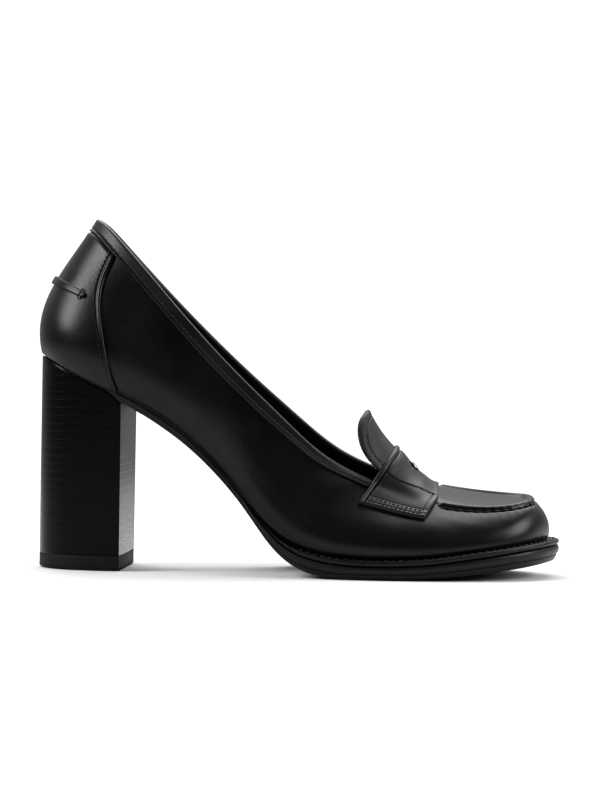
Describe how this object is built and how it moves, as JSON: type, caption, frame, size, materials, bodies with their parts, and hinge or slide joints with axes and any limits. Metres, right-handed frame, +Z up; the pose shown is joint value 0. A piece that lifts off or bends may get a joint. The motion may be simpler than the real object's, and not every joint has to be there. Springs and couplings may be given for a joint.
{
  "type": "loafer pump",
  "caption": "Black leather pump with a moccasin seam, saddle strap and standing tongue on a welted sole and a high stacked block heel",
  "frame": {"origin": "middle of the bounding box, on the floor", "axes": "+X to the toe, +Y to the inner side of the foot, +Z up"},
  "size_m": [0.2206, 0.0847, 0.1468],
  "materials": {
    "upper": "smooth black calf, soft polish",
    "counter_panel": "smooth black calf, soft polish",
    "collar_band": "smooth black calf, soft polish",
    "heel_strap": "smooth black calf, soft polish",
    "tongue": "smooth black calf, soft polish",
    "saddle_strap": "smooth black calf, soft polish",
    "saddle_stud": "white metal plate, polished",
    "insole": "black lining leather, matt",
    "welt": "black edge dressing, satin",
    "outsole": "black edge dressing, satin",
    "heel_block": "stacked leather, polished black",
    "top_lift": "matt black"
  },
  "bodies": {
    "root": {"upper": "upper", "counter_panel": "counter_panel", "collar_band": "collar_band", "heel_strap": "heel_strap", "tongue": "tongue", "saddle_strap": "saddle_strap", "saddle_stud": "saddle_stud", "insole": "insole", "welt": "welt", "outsole": "outsole", "heel_block": "heel_block", "top_lift": "top_lift"}
  },
  "joints": []
}
